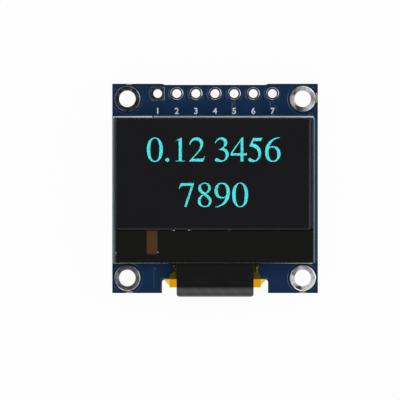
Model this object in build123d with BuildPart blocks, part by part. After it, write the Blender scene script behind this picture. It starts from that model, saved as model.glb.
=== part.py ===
from build123d import *
import os

# A small OLED display module: a blue board with a header row along its top edge, a glass
# display cell stuck to its front, and a flexible tail that folds round a notch in the bottom
# edge and is soldered to the back. Millimetres. The origin is the centre of the four mounting
# holes on the board's back face, X runs to the right, Y up to the header row and Z to the viewer.

# Board, as wide as its header row and mounting holes need and as tall as its display cell needs
board_thickness = 1.2
board_above_panel = 4.53
board_below_panel = 4.01
edge_recess_width = 13.2
edge_recess_depth = 0.15
edge_recess_slope = 0.5
notch_side_clearance = 1.95
notch_depth = 1.83
notch_corner_radius = 0.45

# Plated holes, with the copper and its tin as one skin
plating = 0.05
mount_hole_radius = 1.1
mount_ring_radius = 1.8
mount_edge_distance = 2.0
header_pins = 7
header_pitch = 2.54
header_to_mount = 4.03
header_edge_distance = 1.3
header_hole_radius = 0.575
header_pad_width = 1.7
first_pad_width = 1.8

# Display cell: cap glass behind, front glass over it and past it as a ledge, polarizer on top
panel_height = 19.26
panel_left_margin = 0.15
panel_right_margin = 0.45
ledge_height = 4.3
front_glass_thickness = 0.55
cap_glass_thickness = 0.65
glass_edge_chamfer = 0.06
polarizer_left_margin = 0.41
polarizer_right_margin = 0.79
polarizer_top_margin = 0.2
polarizer_ledge_margin = 0.11
polarizer_thickness = 0.2
polarizer_corner_radius = 0.25

# Inside of the cell
seal_thickness = 0.05
seal_inset = 0.1
seal_width = 1.1
cap_recess_margin = 1.7
cap_recess_depth = 0.3
desiccant_margin = 1.2
desiccant_thickness = 0.15
emitter_side_gap = 1.28
emitter_top_gap = 0.9
emitter_bottom_gap = 0.8
emitter_thickness = 0.04

# Back of the ledge
driver_chip_length = 6.8
driver_chip_width = 0.9
driver_chip_thickness = 0.3
driver_chip_gap = 0.6
shield_thickness = 0.04
shield_clearance = 0.1
patch_width = 1.58
patch_height = 3.2
patch_thickness = 0.06
patch_left_margin = 4.43

# Double-sided tape between board and cap glass
bond_tape_side_inset = 1.35
bond_tape_width = 4.6
bond_tape_thickness = 0.3
bond_tape_inset = 0.7

# Flexible tail
flex_thickness = 0.1
flex_bond_height = 1.5
fold_width = 10.2
flex_neck_margin = 0.1
flex_ear_step = 0.85
flex_ear_length = 2.05
flex_ear_radius = 0.8
fold_overhang = 0.5
fold_corner_radius = 0.4
tail_side_margin = 1.01
tail_length = 10.6
tail_straight = 0.2
tail_flare_radius = 0.4
tail_corner_radius = 0.4

# Black guard tape round the outside of the fold
guard_tape_thickness = 0.08
guard_tape_gap = 0.05
guard_tape_back_length = 1.9

# Soldered contacts of the tail
contact_count = 30
contact_pitch = 0.62
contact_width = 0.34
contact_overlap = 1.1
contact_toe = 0.45
joint_thickness = 0.05

# Chip resistors and capacitors on the back
chip_length = 1.6
chip_width = 0.8
resistor_height = 0.45
resistor_wrap = 0.3
resistor_overcoat = 0.03
capacitor_height = 0.8
capacitor_wrap = 0.35
terminal_thickness = 0.04
terminal_edge_chamfer = 0.03
solder_toe = 0.35
solder_rise = 0.3
solder_hollow = 0.42
resistor_count = 7
resistor_pitch = 2.2
capacitor_count = 8
capacitor_pitch = 2.3
capacitor_row_share = 0.21
resistor_row_share = 0.44
resistor_row_shift = -1.2

# Voltage regulator and diode on the back
package_row_share = 0.7
regulator_shift = 7.4
regulator_length = 2.9
regulator_width = 1.3
regulator_height = 1.05
regulator_lead_pitch = 0.95
regulator_lead_width = 0.4
regulator_lead_shank = 0.2
regulator_lead_foot = 0.35
diode_shift = -7.2
diode_length = 1.7
diode_width = 1.25
diode_height = 0.9
diode_lead_width = 0.3
diode_lead_shank = 0.18
diode_lead_foot = 0.24
package_standoff = 0.05
package_taper = 7.0
lead_thickness = 0.12
lead_bend_radius = 0.13
lead_solder_toe = 0.2

# Places that follow from the sizes
header_row_length = header_pitch * (header_pins - 1)
board_width = header_row_length + 2 * header_to_mount + 2 * mount_edge_distance
board_height = board_above_panel + panel_height + board_below_panel
board_top = board_height / 2
board_bottom = -board_height / 2
notch_width = fold_width + 2 * notch_side_clearance
mount_spacing_x = board_width - 2 * mount_edge_distance
mount_spacing_y = board_height - 2 * mount_edge_distance
header_y = board_top - header_edge_distance
header_x = [header_pitch * (i - (header_pins - 1) / 2) for i in range(header_pins)]

panel_width = board_width - panel_left_margin - panel_right_margin
panel_middle = (panel_left_margin - panel_right_margin) / 2
panel_left = panel_middle - panel_width / 2
panel_top = board_top - board_above_panel
panel_bottom = panel_top - panel_height
cap_height = panel_height - ledge_height
cap_middle = panel_top - cap_height / 2
ledge_top = panel_top - cap_height
flex_bond_top = panel_bottom + flex_bond_height

cap_back = board_thickness + bond_tape_thickness
cap_front = cap_back + cap_glass_thickness
glass_back = cap_front + seal_thickness
glass_front = glass_back + front_glass_thickness
recess_width = panel_width - 2 * cap_recess_margin
recess_height = cap_height - 2 * cap_recess_margin
recess_floor = cap_front - cap_recess_depth
seal_inner_edge = seal_inset + seal_width

flex_front = glass_back
flex_back = -joint_thickness - flex_thickness
fold_z = (flex_front + flex_back) / 2
fold_outer_radius = (flex_front - flex_back) / 2
fold_inner_radius = fold_outer_radius - flex_thickness
fold_y = board_bottom - fold_overhang + fold_outer_radius + guard_tape_thickness
tail_end = fold_y + tail_length
flex_neck_width = fold_width + 2 * flex_neck_margin
flex_ear_width = flex_neck_width + 2 * flex_ear_step
tail_width = contact_pitch * (contact_count - 1) + 2 * tail_side_margin
contact_x = [contact_pitch * (i - (contact_count - 1) / 2) for i in range(contact_count)]

parts_field = header_y - tail_end
capacitor_row = tail_end + capacitor_row_share * parts_field
resistor_row = tail_end + resistor_row_share * parts_field
package_row = tail_end + package_row_share * parts_field
capacitor_x = [capacitor_pitch * (i - (capacitor_count - 1) / 2) for i in range(capacitor_count)]
resistor_x = [
    resistor_row_shift + resistor_pitch * (i - (resistor_count - 1) / 2) for i in range(resistor_count)
]

os.makedirs("parts", exist_ok=True)


def save(part, label):
    part.label = label
    export_step(part, f"parts/{label}.step")


def back_plane(x, y, upright=False):
    """A plane on the board's back face that looks away from the board."""
    across = (0, 1, 0) if upright else (1, 0, 0)
    return Plane(origin=(x, y, 0), x_dir=across, z_dir=(0, 0, -1))


# Circuit board
with BuildPart() as printed_circuit_board:
    with BuildSketch(Plane.XY) as outline:
        Rectangle(board_width, board_height)
        with BuildLine():
            Polyline(
                (-edge_recess_width / 2 - edge_recess_slope, board_top),
                (-edge_recess_width / 2, board_top - edge_recess_depth),
                (edge_recess_width / 2, board_top - edge_recess_depth),
                (edge_recess_width / 2 + edge_recess_slope, board_top),
                close=True,
            )
        make_face(mode=Mode.SUBTRACT)
        with Locations((0, board_bottom)):
            Rectangle(notch_width, 2 * notch_depth, mode=Mode.SUBTRACT)
        notch_corners = outline.vertices().filter_by_position(
            Axis.Y, board_bottom + notch_depth / 2, board_bottom + 3 * notch_depth / 2
        )
        fillet(notch_corners, notch_corner_radius)
        with GridLocations(mount_spacing_x, mount_spacing_y, 2, 2):
            Circle(mount_hole_radius + plating, mode=Mode.SUBTRACT)
        with Locations(*[(x, header_y) for x in header_x]):
            Circle(header_hole_radius + plating, mode=Mode.SUBTRACT)
    extrude(amount=board_thickness)
save(printed_circuit_board.part, "printed_circuit_board")


# Plated eyelets: a barrel through the board with a pad on each face
def eyelet(x, y, hole_radius, pad_width, square=False):
    with BuildPart() as plated:
        for level in (-plating, board_thickness):
            with BuildSketch(Plane.XY.offset(level)):
                with Locations((x, y)):
                    if square:
                        Rectangle(pad_width, pad_width)
                    else:
                        Circle(pad_width / 2)
                    Circle(hole_radius, mode=Mode.SUBTRACT)
            extrude(amount=plating)
        with BuildSketch(Plane.XY):
            with Locations((x, y)):
                Circle(hole_radius + plating)
                Circle(hole_radius, mode=Mode.SUBTRACT)
        extrude(amount=board_thickness)
    return plated.part


mount_places = [
    (-mount_spacing_x / 2, mount_spacing_y / 2),
    (mount_spacing_x / 2, mount_spacing_y / 2),
    (-mount_spacing_x / 2, -mount_spacing_y / 2),
    (mount_spacing_x / 2, -mount_spacing_y / 2),
]
for number, (x, y) in enumerate(mount_places, start=1):
    save(eyelet(x, y, mount_hole_radius, 2 * mount_ring_radius), f"mounting_eyelet_{number}")

for number, x in enumerate(header_x, start=1):
    first = number == 1
    pad_width = first_pad_width if first else header_pad_width
    save(eyelet(x, header_y, header_hole_radius, pad_width, square=first), f"header_eyelet_{number}")


# Bonding tape, one strip near the top of the cell and one near its bottom
def bond_tape(y):
    with BuildPart() as tape:
        with BuildSketch(Plane.XY.offset(board_thickness)):
            with Locations((panel_middle, y)):
                Rectangle(panel_width - 2 * bond_tape_side_inset, bond_tape_width)
        extrude(amount=bond_tape_thickness)
    return tape.part


save(bond_tape(panel_top - bond_tape_inset - bond_tape_width / 2), "bonding_tape_upper")
save(bond_tape(ledge_top + bond_tape_inset + bond_tape_width / 2), "bonding_tape_lower")

# Cap glass with its etched recess
with BuildPart() as cap_glass:
    with BuildSketch(Plane.XY.offset(cap_back)):
        with Locations((panel_middle, cap_middle)):
            Rectangle(panel_width, cap_height)
    extrude(amount=cap_glass_thickness)
    chamfer(cap_glass.edges().group_by(Axis.Z)[0], glass_edge_chamfer)
    with BuildSketch(Plane.XY.offset(cap_front)):
        with Locations((panel_middle, cap_middle)):
            Rectangle(recess_width, recess_height)
    extrude(amount=-cap_recess_depth, mode=Mode.SUBTRACT)
save(cap_glass.part, "cap_glass")

# Desiccant sheet on the floor of the recess
with BuildPart() as desiccant:
    with BuildSketch(Plane.XY.offset(recess_floor)):
        with Locations((panel_middle, cap_middle)):
            Rectangle(recess_width - 2 * desiccant_margin, recess_height - 2 * desiccant_margin)
    extrude(amount=desiccant_thickness)
save(desiccant.part, "desiccant_sheet")

# Seal frame between the two glasses
with BuildPart() as edge_seal:
    with BuildSketch(Plane.XY.offset(cap_front)):
        with Locations((panel_middle, cap_middle)):
            Rectangle(panel_width - 2 * seal_inset, cap_height - 2 * seal_inset)
            Rectangle(
                panel_width - 2 * seal_inner_edge,
                cap_height - 2 * seal_inner_edge,
                mode=Mode.SUBTRACT,
            )
    extrude(amount=seal_thickness)
save(edge_seal.part, "edge_seal")

# Light-emitting layer on the back of the front glass, inside the seal
emitter_width = panel_width - 2 * (seal_inner_edge + emitter_side_gap)
emitter_height = cap_height - 2 * seal_inner_edge - emitter_top_gap - emitter_bottom_gap
with BuildPart() as emitter:
    with BuildSketch(Plane.XY.offset(glass_back)):
        with Locations((panel_middle, panel_top - seal_inner_edge - emitter_top_gap)):
            Rectangle(emitter_width, emitter_height, align=(Align.CENTER, Align.MAX))
    extrude(amount=-emitter_thickness)
save(emitter.part, "emitter_layer")

# Front glass, which stands past the cap glass as a ledge at the bottom
with BuildPart() as front_glass:
    with BuildSketch(Plane.XY.offset(glass_back)):
        with Locations((panel_middle, panel_top)):
            Rectangle(panel_width, panel_height, align=(Align.CENTER, Align.MAX))
    extrude(amount=front_glass_thickness)
    chamfer(front_glass.edges().group_by(Axis.Z)[-1], glass_edge_chamfer)
save(front_glass.part, "front_glass")

# Polarizer film, which ends just above the ledge
polarizer_width = panel_width - polarizer_left_margin - polarizer_right_margin
polarizer_height = cap_height - polarizer_top_margin - polarizer_ledge_margin
with BuildPart() as polarizer:
    with BuildSketch(Plane.XY.offset(glass_front)) as film:
        with Locations((panel_left + polarizer_left_margin, panel_top - polarizer_top_margin)):
            Rectangle(polarizer_width, polarizer_height, align=(Align.MIN, Align.MAX))
        fillet(film.vertices(), polarizer_corner_radius)
    extrude(amount=polarizer_thickness)
save(polarizer.part, "polarizer")

# Driver chip, bonded to the back of the ledge
driver_chip_middle = flex_bond_top + driver_chip_gap + driver_chip_width / 2
with BuildPart() as driver_chip:
    with BuildSketch(Plane.XY.offset(glass_back)):
        with Locations((0, driver_chip_middle)):
            Rectangle(driver_chip_length, driver_chip_width)
    extrude(amount=-driver_chip_thickness)
save(driver_chip.part, "driver_chip")

# Amber film patch on the back of the ledge
patch_middle = panel_left + patch_left_margin + patch_width / 2
with BuildPart() as patch:
    with BuildSketch(Plane.XY.offset(glass_back)):
        with Locations((patch_middle, ledge_top)):
            Rectangle(patch_width, patch_height, align=(Align.CENTER, Align.MAX))
    extrude(amount=-patch_thickness)
save(patch.part, "amber_film_patch")

# Black light shield on the back of the ledge, open round the chip, the patch and the tail
with BuildPart() as light_shield:
    with BuildSketch(Plane.XY.offset(glass_back)):
        with Locations((panel_middle, ledge_top)):
            Rectangle(panel_width, ledge_height, align=(Align.CENTER, Align.MAX))
        with Locations((0, driver_chip_middle)):
            Rectangle(
                driver_chip_length + 2 * shield_clearance,
                driver_chip_width + 2 * shield_clearance,
                mode=Mode.SUBTRACT,
            )
        with Locations((patch_middle, ledge_top)):
            Rectangle(patch_width, 2 * patch_height, mode=Mode.SUBTRACT)
        with Locations((0, panel_bottom)):
            Rectangle(
                flex_neck_width + 2 * shield_clearance,
                2 * (flex_bond_height + shield_clearance),
                mode=Mode.SUBTRACT,
            )
    extrude(amount=-shield_thickness)
save(light_shield.part, "light_shield")


# Half turn of a film round the fold line, with rounded corners where it stands out furthest
def fold(inner_radius, outer_radius, width):
    with BuildPart() as turn:
        with BuildSketch(Plane.YZ):
            with Locations((fold_y, fold_z)):
                Circle(outer_radius)
                Circle(inner_radius, mode=Mode.SUBTRACT)
                Rectangle(
                    outer_radius,
                    2 * outer_radius,
                    align=(Align.MIN, Align.CENTER),
                    mode=Mode.SUBTRACT,
                )
        extrude(amount=width / 2, both=True)
        with BuildSketch(Plane.XY.offset(fold_z - outer_radius)) as silhouette:
            with Locations((0, fold_y)):
                Rectangle(width, outer_radius, align=(Align.CENTER, Align.MAX))
            fillet(silhouette.vertices().group_by(Axis.Y)[0], fold_corner_radius)
        extrude(amount=2 * outer_radius, mode=Mode.INTERSECT)
    return turn.part


# Flexible tail: a narrow neck with two ears in front, the fold, and a flared tail behind
ear_top = fold_y + flex_ear_length
flare_start = fold_y + tail_straight
flare_end = flare_start + (tail_width - flex_ear_width) / 2
flex_fold = fold(fold_inner_radius, fold_outer_radius, fold_width)
with BuildPart() as display_flex:
    with BuildSketch(Plane.XY.offset(flex_front - flex_thickness)) as front_run:
        with Locations((0, fold_y)):
            Rectangle(flex_neck_width, flex_bond_top - fold_y, align=(Align.CENTER, Align.MIN))
            Rectangle(flex_ear_width, flex_ear_length, align=(Align.CENTER, Align.MIN))
        shoulders = front_run.vertices().filter_by_position(
            Axis.Y, ear_top - flex_ear_length / 2, ear_top + flex_ear_length / 2
        )
        outer_shoulders = shoulders.group_by(Axis.X)[0] + shoulders.group_by(Axis.X)[-1]
        fillet(outer_shoulders, min(flex_ear_radius, 0.95 * flex_ear_step))
    extrude(amount=flex_thickness)
    with BuildSketch(Plane.XY.offset(flex_back)) as back_run:
        with BuildLine():
            Polyline(
                (0, fold_y),
                (flex_ear_width / 2, fold_y),
                (flex_ear_width / 2, flare_start),
                (tail_width / 2, flare_end),
                (tail_width / 2, tail_end),
                (0, tail_end),
            )
            mirror(about=Plane.YZ)
        make_face()
        flare = back_run.vertices().filter_by_position(
            Axis.Y, flare_start - tail_straight / 2, flare_end + tail_straight / 2
        )
        fillet(flare, min(tail_flare_radius, 2 * tail_straight))
        fillet(back_run.vertices().group_by(Axis.Y)[-1], tail_corner_radius)
    extrude(amount=flex_thickness)
    add(flex_fold)
save(display_flex.part, "display_flex")

# Guard tape on the outside of the fold
tape_outer_radius = fold_outer_radius + guard_tape_thickness
tape_fold = fold(fold_outer_radius, tape_outer_radius, fold_width)
tape_front_length = panel_bottom - guard_tape_gap - fold_y
with BuildPart() as guard_tape:
    with BuildSketch(Plane.XY.offset(flex_front)):
        with Locations((0, fold_y)):
            Rectangle(fold_width, tape_front_length, align=(Align.CENTER, Align.MIN))
    extrude(amount=guard_tape_thickness)
    with BuildSketch(Plane.XY.offset(flex_back)):
        with Locations((0, fold_y)):
            Rectangle(fold_width, guard_tape_back_length, align=(Align.CENTER, Align.MIN))
    extrude(amount=-guard_tape_thickness)
    add(tape_fold)
save(guard_tape.part, "guard_tape")

# Solder joints of the tail: each runs under its contact and up against the tail's end
with BuildPart() as joint:
    with BuildSketch(Plane.YZ.offset(-contact_width / 2)):
        with BuildLine():
            Polyline(
                (tail_end - contact_overlap, 0),
                (tail_end - contact_overlap, -joint_thickness),
                (tail_end, -joint_thickness),
                (tail_end, flex_back),
                (tail_end + contact_toe, -joint_thickness),
                (tail_end + contact_toe, 0),
                close=True,
            )
        make_face()
    extrude(amount=contact_width)
with BuildPart() as tail_joints:
    with Locations(*[(x, 0, 0) for x in contact_x]):
        add(joint.part)
save(tail_joints.part, "tail_solder_joints")


# Chip resistor: a ceramic block with an overcoat on its outer face, between two wrapped ends
def resistor_body(x, y):
    with BuildPart() as body:
        with BuildSketch(back_plane(x, y, upright=True).offset(terminal_thickness)):
            Rectangle(chip_length - 2 * terminal_thickness, chip_width)
        extrude(amount=resistor_height - 2 * terminal_thickness)
        with BuildSketch(back_plane(x, y, upright=True).offset(resistor_height - terminal_thickness)):
            Rectangle(chip_length - 2 * resistor_wrap, chip_width)
        extrude(amount=resistor_overcoat)
    return body.part


def resistor_ends(x, y):
    with BuildPart() as ends:
        with BuildSketch(back_plane(x, y, upright=True)):
            Rectangle(chip_length, chip_width)
        extrude(amount=resistor_height)
        with BuildSketch(back_plane(x, y, upright=True).offset(terminal_thickness)):
            Rectangle(chip_length - 2 * terminal_thickness, chip_width)
        extrude(amount=resistor_height - 2 * terminal_thickness, mode=Mode.SUBTRACT)
        with BuildSketch(back_plane(x, y, upright=True)):
            Rectangle(chip_length - 2 * resistor_wrap, chip_width)
        extrude(amount=resistor_height, mode=Mode.SUBTRACT)
    return ends.part


# Chip capacitor: a brown ceramic block with a tinned cup over each end
def capacitor_body(x, y):
    with BuildPart() as body:
        with BuildSketch(back_plane(x, y, upright=True).offset(terminal_thickness)):
            Rectangle(chip_length - 2 * terminal_thickness, chip_width - 2 * terminal_thickness)
        extrude(amount=capacitor_height - 2 * terminal_thickness)
    return body.part


def capacitor_ends(x, y):
    with BuildPart() as ends:
        with BuildSketch(back_plane(x, y, upright=True)):
            Rectangle(chip_length, chip_width)
        extrude(amount=capacitor_height)
        chamfer(ends.edges(), terminal_edge_chamfer)
        with BuildSketch(back_plane(x, y, upright=True).offset(terminal_thickness)):
            Rectangle(chip_length - 2 * terminal_thickness, chip_width - 2 * terminal_thickness)
        extrude(amount=capacitor_height - 2 * terminal_thickness, mode=Mode.SUBTRACT)
        with BuildSketch(back_plane(x, y, upright=True)):
            Rectangle(chip_length - 2 * capacitor_wrap, chip_width)
        extrude(amount=capacitor_height, mode=Mode.SUBTRACT)
    return ends.part


for number, x in enumerate(resistor_x, start=1):
    save(resistor_body(x, resistor_row), f"resistor_{number}")
for number, x in enumerate(capacitor_x, start=1):
    save(capacitor_body(x, capacitor_row), f"capacitor_{number}")

resistor_terminals = [resistor_ends(x, resistor_row) for x in resistor_x]
with BuildPart() as resistor_ends_all:
    add(resistor_terminals)
save(resistor_ends_all.part, "resistor_terminals")

capacitor_terminals = [capacitor_ends(x, capacitor_row) for x in capacitor_x]
with BuildPart() as capacitor_ends_all:
    add(capacitor_terminals)
save(capacitor_ends_all.part, "capacitor_terminals")


# Moulded package with a parting line at mid height and tapered halves
def package_body(x, y, length, width, height):
    middle = package_standoff + (height - package_standoff) / 2
    with BuildPart() as body:
        for direction in (1, -1):
            with BuildSketch(back_plane(x, y).offset(middle)):
                Rectangle(length, width)
            extrude(amount=direction * (height - package_standoff) / 2, taper=package_taper)
    return body.part


# Sketch plane square to the board that looks along a given way out from a package or chip
def outward_plane(x, y, way):
    return Plane(origin=(x, y, 0), x_dir=(way[0], way[1], 0), z_dir=(way[1], -way[0], 0))


# Gull-wing lead: a shank from the package's parting line, a drop and a foot on the board
def gull_lead(x, y, way, body_reach, shank, foot, height, width):
    middle = package_standoff + (height - package_standoff) / 2
    bend = min(lead_bend_radius, 0.9 * shank, 0.9 * foot)
    with BuildPart() as lead:
        with BuildSketch(outward_plane(x, y, way)):
            with BuildLine():
                FilletPolyline(
                    (body_reach, -middle),
                    (body_reach + shank, -middle),
                    (body_reach + shank, -lead_thickness / 2),
                    (body_reach + shank + foot, -lead_thickness / 2),
                    radius=bend,
                )
            trace(line_width=lead_thickness)
        extrude(amount=width / 2, both=True)
    return lead.part


# Solder fillet: it runs out along the board and up the end face of a chip or a lead
def solder_wedge(x, y, way, width, toe, rise):
    with BuildPart() as wedge:
        with BuildSketch(outward_plane(x, y, way)):
            with BuildLine():
                Line((0, -rise), (0, 0))
                Line((0, 0), (toe, 0))
                ThreePointArc((toe, 0), (solder_hollow * toe, -solder_hollow * rise), (0, -rise))
            make_face()
        extrude(amount=width / 2, both=True)
    return wedge.part


up, down, left, right = (0, 1), (0, -1), (-1, 0), (1, 0)
regulator_lead_places = [
    (regulator_shift - regulator_lead_pitch, down),
    (regulator_shift + regulator_lead_pitch, down),
    (regulator_shift, up),
]
diode_ways = [left, right]
regulator_lead_end = regulator_width / 2 + regulator_lead_shank + regulator_lead_foot
diode_lead_end = diode_length / 2 + diode_lead_shank + diode_lead_foot

save(
    package_body(regulator_shift, package_row, regulator_length, regulator_width, regulator_height),
    "regulator_body",
)
regulator_lead_parts = [
    gull_lead(
        x,
        package_row,
        way,
        regulator_width / 2,
        regulator_lead_shank,
        regulator_lead_foot,
        regulator_height,
        regulator_lead_width,
    )
    for x, way in regulator_lead_places
]
with BuildPart() as regulator_leads:
    add(regulator_lead_parts)
save(regulator_leads.part, "regulator_leads")

save(package_body(diode_shift, package_row, diode_length, diode_width, diode_height), "diode_body")
diode_lead_parts = [
    gull_lead(
        diode_shift,
        package_row,
        way,
        diode_length / 2,
        diode_lead_shank,
        diode_lead_foot,
        diode_height,
        diode_lead_width,
    )
    for way in diode_ways
]
with BuildPart() as diode_leads:
    add(diode_lead_parts)
save(diode_leads.part, "diode_leads")

chip_ends = [(x, row) for row, places in ((resistor_row, resistor_x), (capacitor_row, capacitor_x))
             for x in places]
wedges = [
    solder_wedge(x, row + side * chip_length / 2, (0, side), chip_width, solder_toe, solder_rise)
    for x, row in chip_ends
    for side in (1, -1)
]
wedges += [
    solder_wedge(
        x,
        package_row + way[1] * regulator_lead_end,
        way,
        regulator_lead_width,
        lead_solder_toe,
        lead_thickness,
    )
    for x, way in regulator_lead_places
]
wedges += [
    solder_wedge(
        diode_shift + way[0] * diode_lead_end,
        package_row,
        way,
        diode_lead_width,
        lead_solder_toe,
        lead_thickness,
    )
    for way in diode_ways
]
with BuildPart() as solder_fillets:
    add(wedges)
save(solder_fillets.part, "solder_fillets")
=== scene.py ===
"""Finishes and fine pieces of a small display module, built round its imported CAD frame."""

import math
from contextlib import contextmanager

import bpy
from mathutils import Matrix, Vector


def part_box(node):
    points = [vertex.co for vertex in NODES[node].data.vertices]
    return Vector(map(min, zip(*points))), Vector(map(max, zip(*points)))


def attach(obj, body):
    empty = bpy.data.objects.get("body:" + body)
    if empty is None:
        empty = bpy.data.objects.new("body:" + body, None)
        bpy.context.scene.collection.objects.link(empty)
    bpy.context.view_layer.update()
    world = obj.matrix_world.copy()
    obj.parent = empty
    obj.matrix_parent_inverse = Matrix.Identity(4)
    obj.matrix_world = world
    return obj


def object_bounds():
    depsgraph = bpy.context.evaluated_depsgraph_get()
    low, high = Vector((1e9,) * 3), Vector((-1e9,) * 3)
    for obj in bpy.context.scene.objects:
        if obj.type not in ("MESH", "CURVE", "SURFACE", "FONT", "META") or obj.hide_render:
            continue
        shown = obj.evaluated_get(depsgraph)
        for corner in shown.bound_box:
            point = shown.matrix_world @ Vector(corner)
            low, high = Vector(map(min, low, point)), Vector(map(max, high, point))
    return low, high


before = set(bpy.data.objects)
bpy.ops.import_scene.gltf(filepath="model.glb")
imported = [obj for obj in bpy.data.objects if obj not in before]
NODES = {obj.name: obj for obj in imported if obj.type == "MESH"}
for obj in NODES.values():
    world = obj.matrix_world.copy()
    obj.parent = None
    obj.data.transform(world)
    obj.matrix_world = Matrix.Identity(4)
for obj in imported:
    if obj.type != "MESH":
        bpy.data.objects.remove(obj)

bl_info = {
    "name": "Small display module",
    "version": (1, 0, 0),
    "blender": (4, 5, 0),
    "location": "3D View > Sidebar > Display",
    "description": "Materials, printed lines, tinned pads, tracks and lit digits of a display module",
    "category": "Object",
}

CAD_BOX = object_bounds()
MM = 0.001
BOARD = "printed_circuit_board"
HEADER_PADS = [f"header_eyelet_{i}" for i in range(1, 8)]
MOUNT_PADS = [f"mounting_eyelet_{i}" for i in range(1, 5)]
RESISTORS = [f"resistor_{i}" for i in range(1, 8)]
CAPACITORS = [f"capacitor_{i}" for i in range(1, 9)]
# How deep a raised piece starts in what carries it
SUNK = 0.02 * MM
# Y of the copper's edges on the front, above and below the display
COPPER_ABOVE, COPPER_BELOW = 9.05 * MM, -9.6 * MM
# Bores of the plated holes
HEADER_BORE, MOUNT_BORE = 0.575 * MM, 1.1 * MM
# Pitch of the tail's contacts, and of its tracks in the neck
PITCH, NECK_PITCH = 0.62, 0.31
# A wave texture's scale times the distance between its crests
WAVE = 0.314


def linear(code):
    """An sRGB hex colour as the linear colour that Blender's shaders take."""
    shares = [int(code[i:i + 2], 16) / 255 for i in (1, 3, 5)]
    return (*[s / 12.92 if s <= 0.04045 else ((s + 0.055) / 1.055) ** 2.4 for s in shares], 1.0)


# Sizes and colours that a user would change

def length(name, text, millimetres):
    return bpy.props.FloatProperty(
        name=name, description=text, default=millimetres * MM, unit="LENGTH", precision=5)


def colour(name, text, code):
    return bpy.props.FloatVectorProperty(
        name=name, description=text, default=linear(code), size=4, min=0, max=1, subtype="COLOR")


class ModuleSizes(bpy.types.PropertyGroup):
    """Sizes of the fine pieces."""

    tin_rise: length("Tin rise", "Height of the tin over a pad", 0.045)
    tin_round: length("Tin shoulder", "Width of the round edge of the tin", 0.14)
    copper_rise: length("Copper rise", "Height of the masked copper over the laminate", 0.03)
    copper_slope: length("Copper slope", "Width of the mask's slope at a copper edge", 0.06)
    mask_lap: length("Mask lap", "Width of the mask's lap over the rim of a mounting pad", 0.09)
    pad_gap: length("Pad gap", "Bare ring between a pad and the copper round it", 0.21)
    track_width: length("Track width", "Width of a covered track", 0.3)
    line_width: length("Line width", "Width of the printed outline", 0.23)
    ink_rise: length("Ink rise", "Height of the printed ink", 0.015)
    number_height: length("Pin number height", "Height of the numbers at the pins", 0.82)
    digit_em: length("Lit digit size", "Body size of the lit digits", 4.7)


class ModuleColours(bpy.types.PropertyGroup):
    """Colours of the finishes."""

    mask: colour("Solder mask", "Blue solder mask over bare laminate", "#122848")
    mask_copper: colour("Masked copper", "Blue solder mask over copper", "#142d4e")
    laminate: colour("Laminate", "Bare glass epoxy laminate", "#a09d68")
    tin: colour("Tin", "Levelled tin of the pads", "#c2c6cd")
    ink: colour("Ink", "White printed ink", "#eff4f8")
    film: colour("Polarizer", "Dark film on the display", "#202023")
    shield: colour("Shield film", "Black film behind the ledge", "#181816")
    patch: colour("Film patch", "Amber film patch behind the ledge", "#593d27")
    resin: colour("Seal resin", "Resin between the two glasses", "#576473")
    tape: colour("Guard tape", "Black tape over the fold", "#171717")
    amber: colour("Polyimide", "Amber base film of the tail", "#b8a010")
    light: colour("Lit digits", "Light of the lit digits", "#52f2ec")


SIZES = ModuleSizes.__annotations__
COLOURS = ModuleColours.__annotations__


def size(name):
    return getattr(bpy.context.scene.module_sizes, name)


def tone(code):
    """An sRGB hex colour, or one of the colours above by its name, as a shader takes it."""
    return linear(code) if code[0] == "#" else tuple(getattr(bpy.context.scene.module_colours, code))


# Finishes: two colours, the width of their soft patches, the lowest and the highest roughness, the
# width and the height of the relief's bumps, and other inputs of the shader. Widths and heights are
# in millimetres.

# Epoxy film cured from liquid: deep colour, soft gloss and a faint orange peel
MASK = (3.0, (0.14, 0.24), 0.22, 0.0012, {"IOR": 1.5})
# Tin blown level with hot air: bright metal that stands as a low cushion on the copper
TIN = ("tin", "#9fa2a6", 0.6, (0.12, 0.26), 0.45, 0.02)
METAL = {"Metallic": 1.0}
# Joints under glass, and paper, mirror nothing
JOINT = {"Specular IOR Level": 0.0}

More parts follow.
